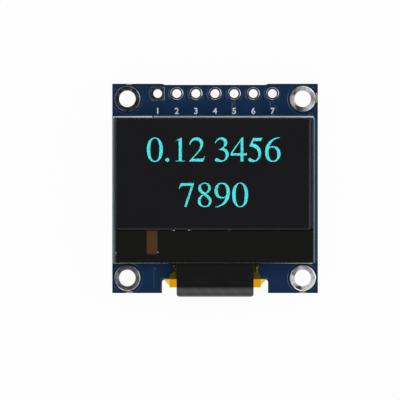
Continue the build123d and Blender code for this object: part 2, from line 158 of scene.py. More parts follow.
FINISHES = {
    "Blue_Solder_Mask_On_Laminate": ("mask", "#152d4e", *MASK),
    "Blue_Solder_Mask_Over_Copper": ("mask_copper", "#163356", *MASK),
    "Blue_Solder_Mask_Over_Tracks": ("mask_copper", "#183863", *MASK),
    # Glass cloth in resin, chalky where it is scraped
    "Bare_Glass_Epoxy": ("laminate", "#a9aa7c", 0.3, (0.45, 0.6), 0.08, 0.004),
    # Screened epoxy ink: matt, slightly uneven and thin enough for the mask to show at its edges
    "White_Screened_Ink": ("ink", "#d3dae1", 0.5, (0.5, 0.7), 0.1, 0.003),
    "Hot_Air_Levelled_Tin": (*TIN, METAL),
    # Tin of a mounting pad, metallic only inside the mask's lap
    "Tin_With_Mask_Lap": TIN,
    # Thicker tin, frosted where it froze slowly and still bright in places
    "Frosted_Levelled_Tin": ("#eeeeec", "#dcdcd8", 0.8, (0.08, 1.0), 1.3, 0.07, METAL),
    # Tin that froze evenly, satin all over
    "Satin_Levelled_Tin": ("#b9bab8", "#8d8f8c", 0.5, (0.25, 0.5), 0.7, 0.03, METAL),
    # Frosted tin with brown-grey flux stains
    "Flux_Stained_Tin": ("#f8f8f6", "#6c6c6a", 1.6, (0.35, 1.0), 0.8, 0.05, METAL),
    # Tin gone dull under a thin grey oxide
    "Dull_Levelled_Tin": ("#909296", "#62656a", 0.7, (0.16, 0.45), 0.6, 0.03, METAL),
    # Stretched plastic film, glued to the glass: almost black, with a soft gloss
    "Stretched_Polarizer_Film": ("film", "#212123", 4.0, (0.12, 0.2), 0.5, 0.0008, {"IOR": 1.49}),
    # The emitting layer's metal back looks black behind the polarizer
    "Dark_Emitting_Layer": ("#111114", "#16151b", 2.0, (0.3, 0.4), 0.17, 0.0005, JOINT),
    # Organic pixels lit from behind the glass
    "Lit_Organic_Pixels": ("light", "#48e6e0", 2.0, (0.4, 0.5), 0.17, 0.0005),
    # Pressed getter sheet, dark grey and dusty
    "Pressed_Desiccant_Sheet": ("#1b1b1c", "#262627", 0.8, (0.8, 0.95), 0.08, 0.004),
    # Resin cured by ultraviolet light, grey where it wets both glasses
    "Cured_Seal_Resin": ("resin", "#4c5965", 0.7, (0.2, 0.35), 0.15, 0.003),
    # Thinned silicon, its back ground to a dull grey mirror
    "Ground_Silicon": ("#232324", "#2b2b2d", 0.4, (0.2, 0.3), 0.05, 0.0006, JOINT),
    # Black polyester film, smooth and even
    "Black_Polyester_Film": ("shield", "#1d1d1a", 3.0, (0.35, 0.5), 0.3, 0.001, JOINT),
    # Amber film over the chip's test pads, seen through the glass as brown
    "Amber_Film": ("patch", "#4c3421", 0.9, (0.3, 0.45), 0.2, 0.002, JOINT),
    # Closed-cell acrylic foam tape, off-white with fine pores
    "Acrylic_Foam_Tape": ("#cfcdc6", "#bdbab1", 0.5, (0.7, 0.9), 0.06, 0.01),
    # Acrylic glue dried white
    "Dried_Acrylic_Glue": ("#c9cac4", "#a7a79f", 0.1, (0.5, 0.7), 0.05, 0.004),
    # Acrylic glue squeezed out along the film's edge, dull where it took up dust
    "Squeezed_Acrylic_Glue": ("#424d53", "#39434a", 1.5, (0.3, 0.5), 0.2, 0.002, {"IOR": 1.47}),
    # Black acrylic glue, dense and even where it wets the glass
    "Black_Acrylic_Adhesive": ("shield", "#1c1c1a", 3.0, (0.4, 0.5), 0.3, 0.001, JOINT),
    # Polyimide film: amber and glossy
    "Amber_Polyimide_Film": ("amber", "#a88e0c", 0.9, (0.22, 0.38), 0.25, 0.003, {"IOR": 1.6}),
    # Black polyester tape, smooth and glossy
    "Black_Polyester_Tape": ("tape", "#191919", 1.5, (0.14, 0.24), 0.3, 0.001, {"IOR": 1.5}),
    # Etched copper under the film's coverlay shows as warm brown lines
    "Etched_Copper_Under_Film": ("#8a5a1c", "#7a4c16", 0.8, (0.25, 0.4), 0.2, 0.002, {"Metallic": 0.6}),
    # Clear glue gone yellow
    "Yellowed_Clear_Glue": ("#6b5e2c", "#4d4422", 0.5, (0.2, 0.4), 0.25, 0.02, {"IOR": 1.45}),
    # Reflowed solder: bright, with slow ripples where it froze
    "Reflowed_Solder": ("#bdbcb8", "#a2a19c", 0.3, (0.18, 0.34), 0.2, 0.01, METAL),
    # Barrel-plated tin, finely matt
    "Plated_Matt_Tin": ("#b9b8b4", "#a6a5a0", 0.4, (0.35, 0.5), 0.06, 0.003, METAL),
    # Epoxy moulding compound: near black, fine sparkle of filler, dull from the mould
    "Moulded_Epoxy_Compound": ("#1d1d1e", "#262627", 0.5, (0.5, 0.7), 0.07, 0.004),
    # Pressed alumina: white, fine and half matt
    "Alumina_With_Black_Overcoat": ("#d9d8d2", "#cdccc4", 0.4, (0.4, 0.55), 0.05, 0.003),
    # Fired ceramic, brown and half matt
    "Fired_Brown_Ceramic": ("#8c6a4a", "#7c5c3f", 0.5, (0.35, 0.5), 0.06, 0.003),
    # Matt white paper
    "Matt_White_Paper": ("#f2f2f2", "#ececec", 20.0, (0.9, 1.0), 0.5, 0.002, JOINT),
}


# Shared work on nodes

def port(sockets, key=0):
    """A node's socket by its name, or by its number among those that the node's settings leave in use."""
    used = [socket for socket in sockets if not socket.is_unavailable]
    return used[key] if isinstance(key, int) else next(s for s in used if s.name == key)


def add(tree, kind, inputs=(), **settings):
    """Adds one node with its settings. Inputs come by name, or in the node's own order, and each takes
    a number, a colour, a node or its output. A MapRange takes its value, the range that the value
    comes from, and the range that it goes to."""
    made = tree.nodes.new("ShaderNode" + kind)
    for name, value in settings.items():
        setattr(made, name, value)
    for name, value in inputs.items() if isinstance(inputs, dict) else enumerate(inputs):
        if isinstance(value, bpy.types.Node):
            value = port(value.outputs)
        if isinstance(value, bpy.types.NodeSocket):
            tree.links.new(value, port(made.inputs, name))
        else:
            port(made.inputs, name).default_value = tone(value) if isinstance(value, str) else value
    return made


def opened(material):
    """A material's nodes, its shader, and its place on the object."""
    tree = material.node_tree
    return tree, tree.nodes["Principled BSDF"], add(tree, "TexCoord").outputs["Object"]


def surface(name):
    """A finish of the table: soft patches of a second colour, uneven shine and a fine relief."""
    base, other, patch, shine, grain, relief, *more = FINISHES[name]
    made = bpy.data.materials.new(name)
    made.use_nodes = True
    tree, body, place = opened(made)
    cloud = add(tree, "TexNoise", {"Vector": place, "Scale": 1 / (patch * MM), "Detail": 3.0})
    spread = add(tree, "MapRange", (cloud, 0.35, 0.65))
    tint = add(tree, "Mix", (spread, base, other), data_type="RGBA")
    grit = add(tree, "TexNoise", {"Vector": place, "Scale": 1 / (grain * MM), "Detail": 4.0})
    gloss = add(tree, "MapRange", (grit, 0.3, 0.7, *shine))
    bump = add(tree, "Bump", {"Height": grit, "Distance": relief * MM})
    for socket, node in (("Base Color", tint), ("Roughness", gloss), ("Normal", bump)):
        tree.links.new(port(node.outputs), body.inputs[socket])
    for socket, value in (more[0] if more else {}).items():
        body.inputs[socket].default_value = value
    return made


def lay(body, socket, mask, value, where=1):
    """Puts a value over what a shader's input takes already, where the mask is 1, or where it is 0."""
    tree, before = body.id_data, body.inputs[socket].links[0].from_socket
    kind = "RGBA" if socket == "Base Color" else "FLOAT"
    pair = (before, value) if where else (value, before)
    both = add(tree, "Mix", (mask, *pair), data_type=kind)
    tree.links.new(port(both.outputs), body.inputs[socket])


def show(tree, shader, output="Material Output"):
    """Gives a shader to the tree's output."""
    tree.links.new(shader.outputs[0], tree.nodes[output].inputs["Surface"])


def inside(tree, axes, *spans, start=None):
    """1 in a box with soft sides, else 0. A span is an axis, its lower and upper end, and how far
    each way the mask fades there, in metres. The box only counts within the start mask."""
    mask = start
    for axis, low, high, soft in spans:
        for edge, *ends in ((low, 0, 1), (high, 1, 0)):
            side = add(tree, "MapRange", (axes[axis], edge - soft, edge + soft, *ends),
                       interpolation_type="SMOOTHSTEP")
            mask = side if mask is None else add(tree, "Math", (mask, side), operation="MULTIPLY")
    return mask


def wear(material, *names):
    """Puts a material on CAD nodes."""
    for name in names:
        for slot in NODES[name].material_slots:
            slot.material = material


# Shared work on meshes

def alone():
    """Deselects everything and leaves edit mode."""
    if bpy.context.object and bpy.context.object.mode == "EDIT":
        bpy.ops.object.mode_set(mode="OBJECT")
    bpy.ops.object.select_all(action="DESELECT")


def pick(piece):
    alone()
    piece.select_set(True)
    bpy.context.view_layer.objects.active = piece


@contextmanager
def editing(piece, kind="VERT", chosen=None):
    """Edit mode on a piece, with its chosen edges or faces selected, or all of it."""
    pick(piece)
    bpy.ops.object.mode_set(mode="EDIT")
    bpy.ops.mesh.select_mode(type=kind)
    bpy.ops.mesh.select_all(action="SELECT" if chosen is None else "DESELECT")
    if chosen is not None:
        bpy.ops.object.mode_set(mode="OBJECT")
        for part in chosen():
            part.select = True
        bpy.ops.object.mode_set(mode="EDIT")
    yield
    bpy.ops.object.mode_set(mode="OBJECT")


def seal():
    """In edit mode, merges doubled points and turns every face outwards."""
    bpy.ops.mesh.select_all(action="SELECT")
    bpy.ops.mesh.remove_doubles(threshold=1e-7)
    bpy.ops.mesh.normals_make_consistent(inside=False)


def placed(primitive, spot, scale=(1, 1, 1), **settings):
    """A primitive at its place, with its scale in its mesh."""
    alone()
    primitive(location=spot, **settings)
    made = bpy.context.object
    made.scale = scale
    bpy.ops.object.transform_apply()
    return made


def settle(piece, name, material):
    """Bakes a piece's place into its mesh, names and paints it, and lets it ride on the body."""
    pick(piece)
    bpy.ops.object.transform_apply()
    piece.name = piece.data.name = name
    piece.data.materials.clear()
    piece.data.materials.append(material)
    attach(piece, "root")


def copied(piece, name, move):
    """A copy of a piece with its own mesh, moved by a matrix."""
    twin = piece.copy()
    twin.data = piece.data.copy()
    bpy.context.scene.collection.objects.link(twin)
    twin.data.transform(move)
    twin.name = twin.data.name = name
    return twin


def middle(name):
    low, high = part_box(name)
    return (low + high) / 2


def block(low, high):
    """A box primitive between two corners."""
    low, high = Vector(low), Vector(high)
    return placed(bpy.ops.mesh.primitive_cube_add, (low + high) / 2, high - low, size=1)


def rounded(piece, level, reach, steps):
    """Rounds the edges of a block that lie above a level."""
    points = piece.data.vertices
    with editing(piece, "EDGE", lambda: [
            edge for edge in piece.data.edges if all(points[v].co.z > level for v in edge.vertices)]):
        bpy.ops.mesh.bevel(offset=reach, segments=steps, affect="EDGES")


def cut(piece, cutter):
    """Cuts one solid out of another."""
    pick(piece)
    made = piece.modifiers.new("cut", "BOOLEAN")
    made.object = cutter
    made.solver = "EXACT"
    bpy.ops.object.modifier_apply(modifier=made.name)
    bpy.data.objects.remove(cutter)


def joined(pieces):
    pick(pieces[0])
    for piece in pieces:
        piece.select_set(True)
    bpy.ops.object.join()
    return bpy.context.object


def meshed(name, shape):
    """A curve as a mesh piece."""
    made = bpy.data.objects.new(name, shape)
    bpy.context.scene.collection.objects.link(made)
    pick(made)
    bpy.ops.object.convert(target="MESH")
    return bpy.context.object


def ribbon(lines, width, rise, z):
    """Flat strips along lines of points, (x, y) in metres, with round edges. A last True closes a line."""
    shape = bpy.data.curves.new("strip", "CURVE")
    shape.dimensions = "3D"
    shape.bevel_depth = rise
    shape.bevel_resolution = 1
    shape.extrude = width / 2 - rise
    shape.use_fill_caps = True
    for line in lines:
        closed = line[-1] is True
        points = line[:-1] if closed else line
        spline = shape.splines.new("POLY")
        spline.points.add(len(points) - 1)
        spline.use_cyclic_u = closed
        for point, (x, y) in zip(spline.points, points):
            point.co = (x, y, z, 1)
            point.tilt = math.pi / 2
    made = meshed("strip", shape)
    with editing(made):
        seal()
    return made


def millimetres(*points):
    return [(x * MM, y * MM) for x, y in points]


def jog(start, end, share):
    """A track from start to end: straight for a share of its spare length, a slanted step at 45
    degrees, and straight again."""
    (x0, y0), (x1, y1) = start, end
    step = math.copysign(abs(x1 - x0), y1 - y0)
    spare = (y1 - y0) - step
    return [start, (x0, y0 + spare * share), (x1, y0 + spare * share + step), end]


def numbers(name, ink, y, z, mirrored=False):
    """Plain printed numbers in a row, one at each header hole."""
    height, rise = size("number_height") / MM, size("ink_rise") / MM
    made = []
    for number, pad in enumerate(HEADER_PADS, 1):
        alone()
        bpy.ops.object.text_add()
        text = bpy.context.object.data
        text.body = str(number)
        text.align_x = text.align_y = "CENTER"
        # A figure is 0.73 of its body high
        text.size = height / 0.73
        text.extrude = rise
        text.offset = height * 0.03
        text.resolution_u = 4
        bpy.ops.object.convert(target="MESH")
        figure = bpy.context.object
        figure.scale = (-MM if mirrored else MM, MM, MM)
        figure.location = (middle(pad).x, y, z)
        bpy.ops.object.transform_apply()
        with editing(figure):
            seal()
        made.append(figure)
    settle(joined(made), name, ink)


# Board

def board_material():
    """Drilled glass epoxy laminate under blue solder mask. The sawn edges show the bare laminate,
    with the glass cloth as pale and dark layers 0.18 mm apart."""
    made = surface("Blue_Solder_Mask_On_Laminate")
    tree, body, place = opened(made)
    axes = add(tree, "SeparateXYZ", [place]).outputs
    low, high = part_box(BOARD)
    # Beside the display neither face has copper. The paler colour there is painted light: it stands for light
    # that comes through the board from below.
    pale = inside(tree, axes, (0, 13.27 * MM, high.x + MM, 0.03 * MM),
                  (1, COPPER_BELOW, COPPER_ABOVE, 0.1 * MM))
    lay(body, "Base Color", pale, "#1f4a62")
    layers = add(tree, "TexWave", {
        "Vector": place, "Scale": WAVE / (2 * 0.18 * MM), "Distortion": 1.2, "Detail": 3.0,
        "Detail Scale": 2.0}, bands_direction="Z").outputs[1]
    cloth = add(tree, "Mix", (layers, "laminate", "#8e8c59"), data_type="RGBA")
    core = inside(tree, axes, (2, low.z + 0.04 * MM, high.z - 0.04 * MM, 0.01 * MM))
    lay(body, "Base Color", core, cloth)
    lay(body, "Roughness", core, 0.7)
    return made


def sloped(piece, face, way, spread=1.0):
    """Gives a block or cylinder of unit height sloping sides: it stands on the face as drawn, and is
    wider above where way is 1, as a cutter, or narrower where way is -1, as a plate. A cutter stands
    past the copper both ways. spread is the slope's width as a share of the usual one."""
    rise, spare = size("copper_rise"), SUNK if way > 0 else SUNK / 2
    slope = spread * size("copper_slope") / rise
    points = piece.data.vertices
    centre = sum((v.co for v in points), Vector()) / len(points)
    is_block = len(points) == 8
    for point in points:
        top = point.co.z > 0.5
        z = rise + (spare if way > 0 else 0) if top else -spare
        grow = way * slope * (z if top or way > 0 else 0)
        out = Vector((point.co.x - centre.x, point.co.y - centre.y, 0))
        corner = Vector((math.copysign(1, out.x), math.copysign(1, out.y), 0))
        point.co += (corner if is_block else out.normalized()) * grow
        point.co.z = face + z
    return piece


def slot(start, end, reach, face, spread):
    """A cutter that clears a slot along one straight run, reach to each side of it."""
    along = Vector((end[0] - start[0], end[1] - start[1], 0))
    made = block((-reach, -reach / 2, 0), (reach, along.length + reach / 2, 1))
    sloped(made, face, 1, spread)
    turn = Matrix.Rotation(math.atan2(-along.x, along.y), 4, "Z")
    made.data.transform(Matrix.Translation((*start, 0)) @ turn)
    return made


def laminate_spots(low, high):
    """Slivers at the board's edge where the mask has come off beside the mounting pads."""
    top, bottom, right = high.y / MM, low.y / MM, high.x / MM
    spots = []
    for x, y, wide, tall in ((-11.4, top - 0.08, 0.4, 0.07), (right - 0.17, 12.05, 0.16, 0.65),
                             (-11.4, bottom + 0.12, 0.5, 0.11), (11.6, bottom + 0.13, 0.5, 0.12)):
        spot = placed(bpy.ops.mesh.primitive_cylinder_add, (x * MM, y * MM, high.z),
                      (wide * MM, tall * MM, 1), vertices=24, radius=1, depth=0.02 * MM)
        with editing(spot):
            bpy.ops.mesh.bevel(offset=0.006 * MM, segments=1, affect="EDGES")
        spots.append(spot)
    settle(joined(spots), "bare_laminate_spots", surface("Bare_Glass_Epoxy"))


class MODULE_OT_board(bpy.types.Operator):
    """Solder mask, masked copper with its gaps, covered tracks and bare laminate spots"""

    bl_idname = "module.board"
    bl_label = "Board"

    def execute(self, context):
        wear(board_material(), BOARD)
        covered = surface("Blue_Solder_Mask_Over_Copper")
        low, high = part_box(BOARD)
        face, edge, half = high.z, 0.25 * MM, size("track_width") / 2
        # Two tracks leave the fifth and seventh pads, in slots that clear the copper each side
        tracks = [
            millimetres((2.54, 12.0), (2.54, 9.0)),
            millimetres((7.62, 12.0), (7.62, 11.15), (8.04, 10.65), (8.04, 9.0)),
            millimetres((12.86, 10.1), (12.86, 9.0)),
        ]
        gaps = [millimetres((-7.96, -10.7), (-7.96, -13.1))]
        notch = (-7.12 * MM, low.y * 2, 0), (7.12 * MM, -12.0 * MM, 1)
        # Name, lower and upper edge, the notch, gaps, half their width and how gently they slope
        for name, near, far, notches, slots, reach, spread in (
                ("masked_copper_top", COPPER_ABOVE, high.y - edge - 0.15 * MM, (), tracks,
                 half + 0.1 * MM, 1.0),
                ("masked_copper_bottom", low.y + edge, COPPER_BELOW, (notch,), gaps, 0.08 * MM, 1.8)):
            plate = sloped(block((low.x + edge, near, 0), (high.x - edge, far, 1)), face, -1, 0.4)
            for pad in HEADER_PADS + MOUNT_PADS:
                spot = middle(pad)
                if near - 2 * MM < spot.y < far + 2 * MM:
                    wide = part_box(pad)[1].x - spot.x + size("pad_gap")
                    ring = placed(bpy.ops.mesh.primitive_cylinder_add, (spot.x, spot.y, 0.5), vertices=64,
                                  radius=wide, depth=1)
                    cut(plate, sloped(ring, face, 1))
            for corners in notches:
                cut(plate, sloped(block(*corners), face, 1))
            for line in slots:
                for start, end in zip(line, line[1:]):
                    cut(plate, slot(start, end, reach, face, spread))
            settle(plate, name, covered)
        lines = ribbon(tracks, 2 * half, size("copper_rise"), face)
        settle(lines, "covered_tracks_front", covered)
        laminate_spots(low, high)
        return {"FINISHED"}


# Printed lines and numbers

class MODULE_OT_legend(bpy.types.Operator):
    """White outline round the display, plain pin numbers, and outlines of the parts on the back"""

    bl_idname = "module.legend"
    bl_label = "Printed legend"

    def execute(self, context):
        ink = surface("White_Screened_Ink")
        low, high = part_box(BOARD)
        rise = size("ink_rise")
        left, right, top, bottom, turn = -13.49, 13.13, 9.5, -9.86, 0.3
        # The lower line slants under the glass towards the tail
        inner = bottom + 0.045
        corner = [(right - turn + turn * math.sin(a), top - turn + turn * math.cos(a))
                  for a in (k * math.pi / 8 for k in range(5))]
        lower = [(x, top + bottom - y) for x, y in reversed(corner)]
        outline = [
            millimetres((-6.2, inner), (left, bottom), (left, top), (-8.33, top)),
            millimetres((-8.17, top), *corner, *lower, (6.25, inner)),
        ]
        over, under = high.z + 0.03 * MM, low.z - SUNK
        settle(ribbon(outline, size("line_width"), rise, over), "printed_outline", ink)
        numbers("pin_numbers", ink, 10.24 * MM, high.z + 0.035 * MM)
        # A closed line round each part, as far out as given in X and in Y
        frames = []
        for parts, beside, beyond in ((RESISTORS + CAPACITORS, 0.28, 0.5), (["regulator_body"], 0.25, 0.85),
                                      (["diode_body"], 0.75, 0.25)):
            for low, high in map(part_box, parts):
                x0, x1 = low.x - beside * MM, high.x + beside * MM
                y0, y1 = low.y - beyond * MM, high.y + beyond * MM
                frames.append([(x0, y0), (x1, y0), (x1, y1), (x0, y1), True])
        settle(ribbon(frames, 0.12 * MM, rise, under), "back_outlines", ink)
        numbers("back_pin_numbers", ink, 10.9 * MM, under, mirrored=True)
        return {"FINISHED"}


# Tinned pads

def lapped():
    """Tin of a mounting pad. The solder mask laps over the pad's rim."""
    made = surface("Tin_With_Mask_Lap")
    tree, body, place = opened(made)
    spot = middle(MOUNT_PADS[1])
    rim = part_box(MOUNT_PADS[1])[1].x - spot.x - size("mask_lap")
    flat = add(tree, "VectorMath", (place, (1, 1, 0)), operation="MULTIPLY")
    corner = add(tree, "VectorMath", [flat], operation="ABSOLUTE")
    reach = add(tree, "VectorMath", (corner, (spot.x, spot.y, 0)), operation="DISTANCE")
    bare = add(tree, "MapRange", (reach, rim, rim + 0.01 * MM, 1, 0))
    lay(body, "Base Color", bare, "mask_copper", where=0)
    tree.links.new(bare.outputs[0], body.inputs["Metallic"])
    return made


def pair(name, pad, bore, lap, tin, steps):
    """A round cushion of tin on each face of one pad, as far as the mask's lap."""
    low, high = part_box(pad)
    spot, rise = middle(pad), size("tin_rise")
    outer = (high.x - low.x) / 2 - lap
    wide = outer - bore
    alone()
    bpy.ops.mesh.primitive_plane_add(size=1, rotation=(math.pi / 2, 0, 0))
    made = bpy.context.object
    made.scale = (wide, rise + SUNK, 1)
    made.location = (spot.x + bore + wide / 2, spot.y, high.z + (rise - SUNK) / 2)
    bpy.ops.object.transform_apply()
    with editing(made):
        bpy.ops.mesh.subdivide(number_cuts=7)
    # The profile falls in a quarter round outside, and by less than a third at the bore
    shoulder = min(size("tin_round"), wide * 0.45)
    lip = 0.3 * shoulder
    edge = max(v.co.x for v in made.data.vertices)
    for point in made.data.vertices:
        if point.co.z > high.z:
            fall = 1 - min(1, max(0, (edge - point.co.x) / shoulder))
            dip = 1 - min(1, max(0, (point.co.x - (edge - wide)) / lip))
            lift = math.sqrt(max(0, 1 - fall ** 2)) * (0.7 + 0.3 * math.sqrt(max(0, 1 - dip ** 2)))
            point.co.z = high.z + (point.co.z - high.z) * lift
    with editing(made):
        bpy.ops.mesh.dissolve_limited(angle_limit=0.001)
        bpy.ops.mesh.delete(type="ONLY_FACE")
        bpy.ops.mesh.select_all(action="SELECT")
        bpy.ops.mesh.spin(steps=steps, angle=2 * math.pi, center=(spot.x, spot.y, high.z + rise),
                          axis=(0, 0, 1))
        seal()
    both_faces(made, name, tin, spot.z)


def square_pair(tin):
    """The first pad is square."""
    low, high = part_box(HEADER_PADS[0])
    spot, rise = middle(HEADER_PADS[0]), size("tin_rise")
    made = block((low.x, low.y, high.z - SUNK), (high.x, high.y, high.z + rise))
    rounded(made, high.z, rise * 0.95, 4)
    cut(made, placed(bpy.ops.mesh.primitive_cylinder_add, (spot.x, spot.y, high.z), vertices=32,
                     radius=HEADER_BORE, depth=MM))
    both_faces(made, "header_tin_1", tin, spot.z)


def both_faces(front, name, tin, level):
    """Smooths a front cushion and mirrors it to the back face."""
    pick(front)
    bpy.ops.object.shade_smooth_by_angle(angle=math.radians(40))
    mirror = Matrix.Translation((0, 0, level)) @ Matrix.Scale(-1, 4, (0, 0, 1))
    back = copied(front, "back", mirror @ Matrix.Translation((0, 0, -level)))
    back.data.flip_normals()
    settle(joined([front, back]), name, tin)


class MODULE_OT_pads(bpy.types.Operator):
    """Levelled tin on both faces of every plated hole"""

    bl_idname = "module.pads"
    bl_label = "Tinned pads"

    def execute(self, context):
        tin = surface("Hot_Air_Levelled_Tin")
        wear(tin, *HEADER_PADS)
        wear(lapped(), *MOUNT_PADS)
        for number, pad in enumerate(HEADER_PADS[1:], 2):
            pair(f"header_tin_{number}", pad, HEADER_BORE, 0, tin, 32)
        finishes = "Dull_Levelled_Tin", "Flux_Stained_Tin", "Satin_Levelled_Tin", "Frosted_Levelled_Tin"
        for number, (pad, finish) in enumerate(zip(MOUNT_PADS, finishes), 1):
            pair(f"mount_tin_{number}", pad, MOUNT_BORE, size("mask_lap"), surface(finish), 64)
        square_pair(tin)
        return {"FINISHED"}


# Display cell

def glass_material():
    """Float glass 0.55 mm thick, cut by scoring: clear, with a mirror of about 4 % head on.
    Where the film or a layer is bonded to it, the joint mirrors nothing. Over the ledge its front
    shows the black film and the amber patch behind it, under the same mirror."""
    made = bpy.data.materials.new("Scored_Display_Glass")
    made.use_nodes = True
    tree, body, place = opened(made)
    axes = add(tree, "SeparateXYZ", [place]).outputs
    tree.nodes.remove(body)
    low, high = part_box("polarizer")
    glass_low, glass_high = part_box("front_glass")
    patch_low, patch_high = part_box("amber_film_patch")
    lit_low, lit_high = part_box("emitter_layer")
    soft, inset = 0.005 * MM, 0.03 * MM
    over = inside(tree, axes, (0, low.x, high.x, soft), (1, low.y, high.y, soft))
    inner = inside(tree, axes, (2, glass_high.z - 0.02 * MM, glass_high.z + MM, soft), start=over)
    behind = inside(tree, axes, (2, glass_low.z - 0.01 * MM, glass_low.z + 0.01 * MM, soft))
    bonded = add(tree, "Math", (inner, behind), operation="MAXIMUM")
    facing = add(tree, "LayerWeight", {"Blend": 0.5}).outputs["Facing"]
    steep = add(tree, "Math", (facing, 5.0), operation="POWER")
    mirror = add(tree, "MapRange", (steep, 0, 1, 0.04, 1))
    free = add(tree, "Math", (1.0, bonded), operation="SUBTRACT")
    share = add(tree, "Math", (mirror, free), operation="MULTIPLY")
    smear = add(tree, "TexNoise", {"Vector": place, "Scale": 1 / (2.5 * MM), "Detail": 5.0})
    gloss = add(tree, "MapRange", (smear, 0, 1, 0.01, 0.08))
    clear = add(tree, "BsdfTransparent", {"Color": "#f6faf8"})
    pane = add(tree, "MixShader", (share, clear, add(tree, "BsdfGlossy", {"Roughness": gloss})))
    # The films behind the ledge
    amber = inside(tree, axes, (0, patch_low.x + 0.03 * MM, patch_high.x - 0.14 * MM, 0.1 * MM),
                   (1, patch_low.y + 0.12 * MM, patch_high.y + MM, 0.2 * MM))
    cloud = add(tree, "TexNoise", {"Vector": place, "Scale": 1 / (0.9 * MM), "Detail": 3.0})
    brown = add(tree, "Mix", (cloud, "patch", "#4c3421"), data_type="RGBA")
    seen = add(tree, "Mix", (amber, "shield", brown), data_type="RGBA")
    film = add(tree, "BsdfPrincipled", {"Base Color": seen, "Roughness": gloss, "IOR": 1.5})
    ledge = inside(tree, axes, (0, glass_low.x + inset, glass_high.x - inset, soft),
                   (1, glass_low.y + inset, patch_high.y, soft),
                   (2, glass_high.z - 0.05 * MM, glass_high.z + MM, soft))
    pane = add(tree, "MixShader", (ledge, pane, film))
    # Round the lit layer the back carries a dark metal frame, which hides the seal
    lit = inside(tree, axes, (0, lit_low.x, lit_high.x, soft), (1, lit_low.y, lit_high.y, soft))
    unlit = add(tree, "Math", (over, lit), operation="SUBTRACT", use_clamp=True)
    framed = add(tree, "Math", (unlit, behind), operation="MULTIPLY")
    metal = add(tree, "BsdfPrincipled", {"Base Color": "#131317", "Roughness": 0.4, **JOINT})
    pane = add(tree, "MixShader", (framed, pane, metal))
    # The scored edges are rough breaks, pale at the rim. The left one has a wider pale band that fades
    # inwards, partly chipping and partly a painted reflection of its bevel.
    rim = 0.0
    for axis, edge, deep in ((0, glass_low.x, 0.42), (0, glass_high.x - 0.1 * MM, -0.16),
                             (1, glass_low.y, 0.01), (1, glass_high.y, -0.01)):
        fade = add(tree, "MapRange", (axes[axis], edge + deep * MM, edge))
        rim = add(tree, "Math", (rim, fade), operation="MAXIMUM")
    chips = add(tree, "TexNoise", {"Vector": place, "Scale": 1 / (0.08 * MM), "Detail": 3.0})
    even = add(tree, "MapRange", (chips, 0, 1, 0.7, 1))
    frost_and_bevel_reflection = add(tree, "Math", (rim, even), operation="MULTIPLY")
    frost = add(tree, "BsdfPrincipled", {"Base Color": "#6b7c7d", "Roughness": 0.3, "IOR": 1.5})
    show(tree, add(tree, "MixShader", (frost_and_bevel_reflection, pane, frost)))
    return made


def film_material():
    """The polarizer lets the lit layer behind it show. Along its lower and its left edge a paler band is
    painted as the highlight of its cut edge."""
    made = surface("Stretched_Polarizer_Film")
    tree, body, place = opened(made)
    axes = add(tree, "SeparateXYZ", [place]).outputs
    low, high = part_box("polarizer")
    # Painted highlight: a paler, uneven band along the lower and the left cut edge
    inner = inside(tree, axes, (0, low.x + 0.07 * MM, high.x + MM, 0.03 * MM),
                   (1, low.y + 0.2 * MM, high.y + MM, 0.04 * MM))
    uneven = add(tree, "TexNoise", {"Vector": place, "Scale": 1 / (2.2 * MM), "Detail": 3.0})
    pale = add(tree, "Mix", (uneven, "#252525", "#484847"), data_type="RGBA")
    lay(body, "Base Color", inner, pale, where=0)
    shown = inside(tree, axes, (2, low.z + 0.05 * MM, high.z + MM, 0.01 * MM))
    share = add(tree, "Math", (shown, 0.75), operation="MULTIPLY")
    clear = add(tree, "BsdfTransparent", {"Color": "#b4b4b8"})
    show(tree, add(tree, "MixShader", (share, clear, body)))
    return made


def specks():
    """Crumbs of dry glue on the ledge, most along the film's lower edge, and a line of glue along
    the film's right edge."""
    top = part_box("front_glass")[1].z
    places = ((-5.46, -5.54, 0.13), (-3.47, -5.52, 0.12), (-5.75, -5.53, 0.05), (-3.2, -5.53, 0.05),
              (-7.56, -8.46, 0.09), (-13.16, -8.5, 0.09), (-13.13, -8.75, 0.06), (1.9, -5.53, 0.05))
    crumbs = []
    for number, (x, y, wide) in enumerate(places):
        alone()
        bpy.ops.mesh.primitive_ico_sphere_add(subdivisions=2, radius=1, location=(x * MM, y * MM, top))
        crumb = bpy.context.object
        with editing(crumb):
            bpy.ops.transform.vertex_random(offset=0.12, seed=number)
        crumb.scale = (wide * MM, 0.6 * wide * MM, 0.4 * wide * MM)
        crumbs.append(crumb)
    settle(joined(crumbs), "glue_crumbs", surface("Dried_Acrylic_Glue"))
    low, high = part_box("polarizer")
    gap = 0.02 * MM
    seam = block((high.x + gap, low.y + gap, top), (high.x + gap + 0.15 * MM, high.y - gap, top + 0.03 * MM))
    rounded(seam, top, 0.015 * MM, 2)
    settle(seam, "film_edge_glue", surface("Squeezed_Acrylic_Glue"))


def adhesive():
    """The glue that bonds the black film to the back of the ledge, with a window over the patch."""
    low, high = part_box("front_glass")
    film, window_low, window_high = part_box("polarizer")[0], *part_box("amber_film_patch")
    inset, start, thick = 0.03 * MM, 0.001 * MM, 0.006 * MM
    made = block((low.x + inset, low.y + inset, low.z + start),
                 (high.x - inset, film.y + 0.1 * MM, low.z + thick))
    cut(made, block((window_low.x, window_low.y, low.z - MM), (window_high.x, high.y, low.z + MM)))
    settle(made, "shield_adhesive", surface("Black_Acrylic_Adhesive"))


